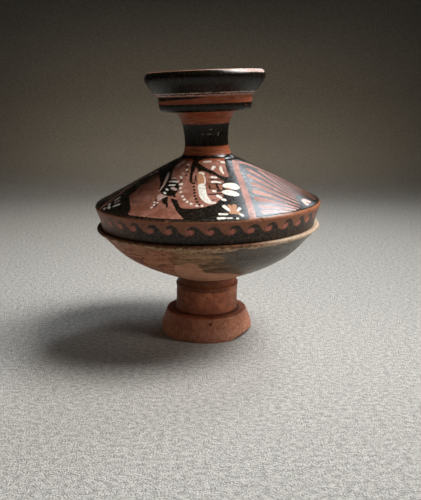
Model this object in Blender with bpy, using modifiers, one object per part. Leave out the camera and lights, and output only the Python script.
"""Lidded pyxis on a stemmed foot, in fired clay.

Two pieces, each thrown and fired as one: a bowl with its stem and foot, and a lid with its neck and knob.
Metres, +Z up. The foot stands on Z = 0 and the widest ring of the lid is centred on the Z axis.
-Y is the front. The pot is hand thrown, so the rim and the lid lean a little.
"""
from math import cos, hypot, pi, radians, sin

import bpy
from mathutils import Vector

# Turning
STEPS = 52                  # facets round the pot
MERGE = 0.00005             # points on the axis closer than this become one
SHARP = radians(35)         # edges sharper than this are not shaded smooth

# Foot and stem
FOOT_BASE_R = 0.0288        # outer radius of the ring that the pot stands on
FOOT_BORE_R = 0.0215        # inner radius of that ring
FOOT_BULGE_R = 0.0294       # widest radius of the foot's side
FOOT_BULGE_Z = 0.0027       # height of the widest place
TREAD_R = 0.02575           # radius of the foot's upper edge
TREAD_HEIGHT = 0.0146       # height of the foot's upper face
TREAD_ROUND = 0.0005        # rounding of that edge
STEM_R = 0.0196             # radius of the stem
STEM_FOOT_FILLET = 0.0014   # where the stem meets the foot
STEM_HEIGHT = 0.0224        # from the foot's upper face to the bowl
STEM_WALL = 0.0062          # clay round the hollow in the stem
COLLAR_PROUD = 0.0003       # how far the collar stands out from the stem
COLLAR_HEIGHT = 0.0026      # height of the collar
GROOVE_DEPTH = 0.0008       # how far the groove between collar and bowl sinks into the stem
GROOVE_HEIGHT = 0.0046      # from the collar to the bowl

# Bowl
LIP_R = 0.0619              # outer radius of the upright lip that guides the lid
LIP_WALL = 0.0036           # thickness of the lip
LIP_HEIGHT = 0.0078         # height of the lip above the ledge
LEDGE_REVEAL = 0.0028       # how far the ledge stands out past the lid's band
RIM_DROP = 0.0009           # how far the rim falls from the ledge to its widest place
RIM_ROUND = 0.0012          # rounding of the rim
SKIRT_DRAW = 0.0091         # the straight wall below the rim: how far it draws in from the widest place
SKIRT_DROP = 0.0095         # and how far it goes down
BOWL_DEPTH = 0.0338         # from the stem's top to the ledge
BOWL_WALL = 0.0052          # thickness of the bowl's wall
BOWL_ROOT_FLARE = 0.0034    # how far the bowl's wall starts outside the stem
BOWL_ROOT_RISE = 0.0016     # and how far above it
FLOOR_WALL = 0.0085         # clay between the bowl's floor and the hollow of the stem
FLOOR_DIP = 0.0012          # how far the floor sinks towards the middle

# Lid
SEAT_GAP = 0.0003           # between the ledge and the lid that rests on it
LID_FIT = 0.0007            # play between the lip and the lid's band, on the radius
LID_WALL = 0.0040           # thickness of the lid
BAND_FLARE = 0.0034         # how much wider the band is at its top than at its bottom
BAND_HEIGHT = 0.0123        # upright band of the lid
EDGE_ROUND = 0.0009         # rounding where the shoulder meets the band
SHOULDER_RISE = 0.0275      # from the band's top edge to the root of the neck
NECK_ROOT_R = 0.0194        # where the shoulder turns up into the neck
NECK_R = 0.0134             # narrowest radius of the neck
NECK_HEIGHT = 0.0285        # from the root of the neck to the knob
NECK_WAIST = 0.40           # where the neck is narrowest, as a share of its height
NECK_HOLLOW = 0.0060        # how far the lid's hollow reaches up into the neck

# Knob
KNOB_ROOT_R = 0.0189        # where the neck meets the knob
KNOB_BAND_R = 0.0286        # radius of the knob's lower band
KNOB_BAND_HEIGHT = 0.0096   # height of the lower band
KNOB_BAND_TUCK = 0.0028     # how far the lower band draws in at its foot
KNOB_BAND_TAPER = 0.0002    # how far its upright part draws in
KNOB_BAND_UPRIGHT = 0.60    # height of that part, as a share of the band's
KNOB_BAND_EDGE = 0.0004     # bevel of the band's upper edge
FLARE_STEP = 0.0013         # step from the lower band out to the flare
KNOB_R = 0.03665            # widest radius of the knob
FLARE_HEIGHT = 0.0104       # from the step to the widest place
KNOB_LIP_HEIGHT = 0.0034    # from the widest place to the top of the lip
DISH_RIM_WALL = 0.0052      # width of the lip round the dish on top
DISH_DEPTH = 0.0032         # depth of the dish on top

# Lean of the hand-thrown pot: the side towards +X is the higher one
RIM_TILT = radians(1.0)     # at the ledge
KNOB_TILT = radians(2.1)    # at the knob
FOOT_SHIFT = -0.0011        # the foot's axis, left of the rim's
KNOB_SHIFT = -0.0018        # the knob's axis, left of the rim's

# Broken places
FOOT_CHIP_TURN = radians(64)     # from the front towards +X
FOOT_CHIP_REACH = 0.0248         # from the foot's axis to where the break starts
FOOT_CHIP_SLOPE = radians(35.5)  # how steeply the break rises outwards
KNOB_CHIP_TURN = radians(62)
KNOB_CHIP_R = 0.0024

# Heights that follow
STEM_TOP_Z = TREAD_HEIGHT + STEM_HEIGHT
LEDGE_Z = STEM_TOP_Z + BOWL_DEPTH
SEAT_Z = LEDGE_Z + SEAT_GAP
EDGE_Z = SEAT_Z + BAND_HEIGHT
NECK_ROOT_Z = EDGE_Z + SHOULDER_RISE
KNOB_ROOT_Z = NECK_ROOT_Z + NECK_HEIGHT
STEP_Z = KNOB_ROOT_Z + KNOB_BAND_HEIGHT
WIDEST_Z = STEP_Z + FLARE_HEIGHT
KNOB_TOP_Z = WIDEST_Z + KNOB_LIP_HEIGHT

# Radii that follow
BAND_BORE_R = LIP_R + LID_FIT
BAND_FOOT_R = BAND_BORE_R + LID_WALL
LID_EDGE_R = BAND_FOOT_R + BAND_FLARE
RIM_R = BAND_FOOT_R + LEDGE_REVEAL
LIP_BORE_R = LIP_R - LIP_WALL
DISH_R = KNOB_R - DISH_RIM_WALL


def point(radius, height):
    return Vector((radius, height))


def handle(start, end, share):
    """A curve's handle: this share of the way across and up from start to end."""
    across, up = share
    return point(start.x + across * (end.x - start.x), start.y + up * (end.y - start.y))


def curve(start, end, first_pull, last_pull, count):
    """Points of a cubic curve, its handles given as shares of the way. The end point is left out."""
    first = handle(start, end, first_pull)
    last = handle(start, end, last_pull)
    points = []
    for i in range(count):
        t = i / count
        back = 1 - t
        points.append(back ** 3 * start + 3 * back ** 2 * t * first + 3 * back * t ** 2 * last + t ** 3 * end)
    return points


def arc(centre, radius, first, last, count):
    """Points of an arc, with its angles in degrees from the outward direction."""
    points = []
    for i in range(count + 1):
        angle = radians(first + (last - first) * i / count)
        points.append(centre + radius * Vector((cos(angle), sin(angle))))
    return points


def offset(points, distance):
    """The same line, moved this far to the left of its direction."""
    moved = []
    for i, place in enumerate(points):
        along = (points[min(i + 1, len(points) - 1)] - points[max(i - 1, 0)]).normalized()
        moved.append(place + distance * Vector((-along.y, along.x)))
    return moved


def within(points, radius):
    """The part of a line inside a radius, ended on that radius. The line runs inwards."""
    inner = [i for i, place in enumerate(points) if place.x <= radius]
    first = inner[0]
    if first == 0:
        return points
    before = points[first - 1]
    share = (before.x - radius) / (before.x - points[first].x)
    return [before.lerp(points[first], share)] + points[first:]


def bowl_underside():
    """The bowl's outer wall, from just below the rim down to the stem."""
    widest_z = LEDGE_Z - RIM_DROP
    below_rim = point(RIM_R - 1.1 * RIM_ROUND, widest_z - 1.1 * RIM_ROUND)
    belly = point(RIM_R - SKIRT_DRAW, widest_z - SKIRT_DROP)
    root = point(STEM_R + BOWL_ROOT_FLARE, STEM_TOP_Z + BOWL_ROOT_RISE)
    return [below_rim] + curve(belly, root, (0.16, 0.33), (0.43, 0.64), 7) + [root]


def bowl_inside(outside):
    """The bowl's hollow, from the middle of the floor out and up to the lip."""
    wall = within(offset(outside, -BOWL_WALL), LIP_BORE_R)
    floor_edge = wall[-1]
    middle = point(0, floor_edge.y - FLOOR_DIP)
    floor = curve(middle, floor_edge, (0.4, 0.0), (0.65, 0.1), 2)
    return floor + wall[::-1]


def lip_and_ledge():
    """The upright lip, the ledge that the lid rests on and the rounded rim."""
    lip_round = LIP_WALL / 2
    lip_top = arc(point(LIP_R - lip_round, LEDGE_Z + LIP_HEIGHT - lip_round), lip_round, 180, 0, 4)
    ledge = [point(LIP_R, LEDGE_Z), point(BAND_FOOT_R + 0.1 * LEDGE_REVEAL, LEDGE_Z)]
    rim = arc(point(RIM_R - RIM_ROUND, LEDGE_Z - RIM_DROP), RIM_ROUND, 65, -25, 2)
    return lip_top + ledge + rim


def stem_side():
    """The groove, the collar and the stem, down to the foot's upper face."""
    groove_r = STEM_R - GROOVE_DEPTH
    collar_z = STEM_TOP_Z - GROOVE_HEIGHT
    fillet = point(STEM_R + STEM_FOOT_FILLET, TREAD_HEIGHT + STEM_FOOT_FILLET)
    return [
        point(STEM_R + GROOVE_DEPTH, STEM_TOP_Z + 0.1 * GROOVE_HEIGHT),
        point(groove_r, STEM_TOP_Z - 0.25 * GROOVE_HEIGHT),
        point(groove_r, STEM_TOP_Z - 0.7 * GROOVE_HEIGHT),
        point(STEM_R + COLLAR_PROUD, collar_z - 0.1 * COLLAR_HEIGHT),
        point(STEM_R, collar_z - COLLAR_HEIGHT),
    ] + arc(fillet, STEM_FOOT_FILLET, 180, 260, 2)


def foot_side():
    """The foot's upper edge, its side and the ring that it stands on."""
    tread = point(TREAD_R, TREAD_HEIGHT - TREAD_ROUND)
    bulge = point(FOOT_BULGE_R, FOOT_BULGE_Z)
    side = curve(tread, bulge, (0.2, 0.3), (0.9, 0.6), 3)
    return [point(TREAD_R - TREAD_ROUND, TREAD_HEIGHT)] + side + [bulge, point(FOOT_BASE_R, 0)]


def foot_hollow(floor_z):
    """The hollow under the foot and in the stem, up to its roof below the bowl's floor."""
    bore_r = STEM_R - STEM_WALL
    roof_z = floor_z - FLOOR_WALL
    return [
        point(FOOT_BORE_R, 0),
        point(bore_r + 0.25 * (FOOT_BORE_R - bore_r), 0.55 * TREAD_HEIGHT),
        point(bore_r, 1.2 * TREAD_HEIGHT),
        point(bore_r, roof_z - 0.5 * bore_r),
        point(0.62 * bore_r, roof_z - 0.12 * bore_r),
        point(0, roof_z),
    ]


def bowl_profile():
    outside = bowl_underside()
    inside = bowl_inside(outside)
    return inside + lip_and_ledge() + outside + stem_side() + foot_side() + foot_hollow(inside[0].y)


def knob_side():
    """The dish on top, the lip, the flare and the lower band, down to the neck."""
    dish = [
        point(0, KNOB_TOP_Z - DISH_DEPTH),
        point(0.6 * DISH_R, KNOB_TOP_Z - 0.85 * DISH_DEPTH),
        point(DISH_R, KNOB_TOP_Z - 0.25 * DISH_DEPTH),
    ]
    lip = [
        point(DISH_R + 0.55 * DISH_RIM_WALL, KNOB_TOP_Z),
        point(DISH_R + 0.85 * DISH_RIM_WALL, KNOB_TOP_Z - 0.2 * KNOB_LIP_HEIGHT),
    ]
    step = point(KNOB_BAND_R + FLARE_STEP, STEP_Z)
    flare = curve(point(KNOB_R, WIDEST_Z), step, (0.0, 0.25), (0.6, 0.7), 4) + [step]

    upright_r = KNOB_BAND_R - KNOB_BAND_TAPER
    upright = point(upright_r, STEP_Z - KNOB_BAND_UPRIGHT * KNOB_BAND_HEIGHT)
    tuck = point(KNOB_BAND_R - KNOB_BAND_TUCK, STEP_Z - KNOB_BAND_HEIGHT)
    band = [point(KNOB_BAND_R, STEP_Z - KNOB_BAND_EDGE)] + curve(upright, tuck, (0.1, 0.5), (0.4, 0.9), 3)
    return dish + lip + flare + band + [tuck]


def neck_side():
    """The neck, from the knob down to the shoulder: it draws in fast at first, then is nearly straight."""
    head = point(KNOB_ROOT_R, KNOB_ROOT_Z)
    waist = point(NECK_R, NECK_ROOT_Z + NECK_WAIST * NECK_HEIGHT)
    root = point(NECK_ROOT_R, NECK_ROOT_Z)
    upper = curve(head, waist, (0.72, 0.16), (0.96, 0.57), 5)
    lower = curve(waist, root, (0.01, 0.48), (0.12, 0.88), 5)
    return upper + lower


def shoulder_side():
    """The lid's shoulder, from the neck out to the edge: nearly straight, and rounder at the end."""
    root = point(NECK_ROOT_R, NECK_ROOT_Z)
    edge = point(LID_EDGE_R - 1.5 * EDGE_ROUND, EDGE_Z + 2.3 * EDGE_ROUND)
    return curve(root, edge, (0.34, 0.31), (0.67, 0.69), 6) + [edge]


def band_side():
    """The rounded edge below the shoulder and the upright band, down to the seat and its bore."""
    corner = point(LID_EDGE_R - 0.4 * EDGE_ROUND, EDGE_Z + EDGE_ROUND)
    foot = point(BAND_FOOT_R, SEAT_Z)
    band = curve(point(LID_EDGE_R, EDGE_Z), foot, (0.47, 0.38), (1.0, 0.68), 3)
    return [corner] + band + [foot, point(BAND_BORE_R, SEAT_Z)]


def lid_hollow(shoulder):
    """The lid's inside, from the band up under the shoulder and a little way into the neck."""
    vault_r = LID_EDGE_R - LID_WALL
    vault_z = NECK_ROOT_Z - LID_WALL + NECK_HOLLOW
    corner = point(0.5 * (BAND_BORE_R + vault_r), EDGE_Z - LID_WALL)
    under_shoulder = [p for p in offset(shoulder, -LID_WALL) if NECK_R < p.x < vault_r - 0.5 * LID_WALL]
    top = [point(0.5 * NECK_R, vault_z - 0.25 * NECK_HOLLOW), point(0, vault_z)]
    return [corner] + under_shoulder[::-1] + top


def lid_profile():
    shoulder = shoulder_side()
    return knob_side() + neck_side() + shoulder + band_side() + lid_hollow(shoulder)


def ease(value, low, high):
    """0 below low, 1 above high, and a smooth rise between them."""
    share = min(max((value - low) / (high - low), 0), 1)
    return share * share * (3 - 2 * share)


def lean(place):
    """Where the hand-thrown pot has this point of the true turned shape."""
    below = ease(place.z, STEM_TOP_Z, LEDGE_Z)
    above = ease(place.z, EDGE_Z, KNOB_TOP_Z)
    tilt = RIM_TILT * below + (KNOB_TILT - RIM_TILT) * above
    axis = FOOT_SHIFT * (1 - ease(place.z, 0, LEDGE_Z)) + KNOB_SHIFT * above
    return Vector((axis + place.x * cos(tilt), place.y, place.z + place.x * sin(tilt)))


def clay(name, colour, roughness):
    material = bpy.data.materials.new(name)
    material.use_nodes = True
    shader = material.node_tree.nodes["Principled BSDF"]
    shader.inputs["Base Color"].default_value = (*colour, 1)
    shader.inputs["Roughness"].default_value = roughness
    shader.inputs["Metallic"].default_value = 0
    return material


def turned(name, section, material, collection):
    """A thrown piece: its section, turned round the axis, then leaned by hand."""
    outline = bpy.data.meshes.new(name + "_section")
    edges = [(i, i + 1) for i in range(len(section) - 1)]
    outline.from_pydata([(p.x, 0, p.y) for p in section], edges, [])
    piece = bpy.data.objects.new(name, outline)
    collection.objects.link(piece)
    screw = piece.modifiers.new("Turn", "SCREW")
    screw.axis = "Z"
    screw.steps = screw.render_steps = STEPS
    screw.use_merge_vertices = True
    screw.merge_threshold = MERGE

    mesh = bpy.data.meshes.new_from_object(piece.evaluated_get(bpy.context.evaluated_depsgraph_get()))
    piece.modifiers.clear()
    piece.data = mesh
    bpy.data.meshes.remove(outline)
    mesh.name = name
    for vertex in mesh.vertices:
        vertex.co = lean(vertex.co)
    mesh.materials.append(material)
    mesh.shade_smooth()
    mesh.set_sharp_from_angle(angle=SHARP)
    return piece


def as_cutter(name, collection):
    """Takes the shape just added out of the view and into the cutters' collection."""
    cutter = bpy.context.object
    cutter.name = name
    for owner in cutter.users_collection:
        owner.objects.unlink(cutter)
    collection.objects.link(cutter)
    cutter.hide_render = True
    cutter.display_type = "WIRE"
    return cutter


def cut(piece, cutter):
    boolean = piece.modifiers.new(cutter.name, "BOOLEAN")
    boolean.operation = "DIFFERENCE"
    boolean.solver = "EXACT"
    boolean.object = cutter


def foot_chip(collection):
    """A block whose upper face is the flat break under the foot's edge."""
    side = 3 * FOOT_BULGE_R
    bpy.ops.mesh.primitive_cube_add(size=side)
    block = as_cutter("foot_break", collection)
    turn = FOOT_CHIP_TURN - pi / 2
    outwards = Vector((cos(turn), sin(turn), 0))
    upwards = Vector((0, 0, 1))
    slope = cos(FOOT_CHIP_SLOPE) * outwards + sin(FOOT_CHIP_SLOPE) * upwards
    face = cos(FOOT_CHIP_SLOPE) * upwards - sin(FOOT_CHIP_SLOPE) * outwards
    start = Vector((FOOT_SHIFT, 0, 0)) + FOOT_CHIP_REACH * outwards
    block.rotation_euler = (0, -FOOT_CHIP_SLOPE, turn)
    block.location = start + 0.25 * side * slope - 0.5 * side * face
    return block


def knob_chip(collection):
    """A small ball that takes a flake off the knob's lip."""
    bpy.ops.mesh.primitive_ico_sphere_add(subdivisions=2, radius=KNOB_CHIP_R)
    ball = as_cutter("knob_flake", collection)
    reach = hypot(KNOB_R, 0.3 * KNOB_CHIP_R)
    turn = KNOB_CHIP_TURN - pi / 2
    ball.location = lean(Vector((reach * cos(turn), reach * sin(turn), KNOB_TOP_Z + 0.35 * KNOB_CHIP_R)))
    return ball


def main():
    for leftover in list(bpy.data.objects):
        bpy.data.objects.remove(leftover)
    pyxis = bpy.data.collections.new("pyxis")
    cutters = bpy.data.collections.new("cutters")
    bpy.context.scene.collection.children.link(pyxis)
    bpy.context.scene.collection.children.link(cutters)

    bowl = turned("bowl", bowl_profile(), clay("bare_clay", (0.20, 0.075, 0.035), 0.6), pyxis)
    cut(bowl, foot_chip(cutters))
    lid = turned("lid", lid_profile(), clay("black_gloss", (0.03, 0.02, 0.017), 0.3), pyxis)
    cut(lid, knob_chip(cutters))


main()
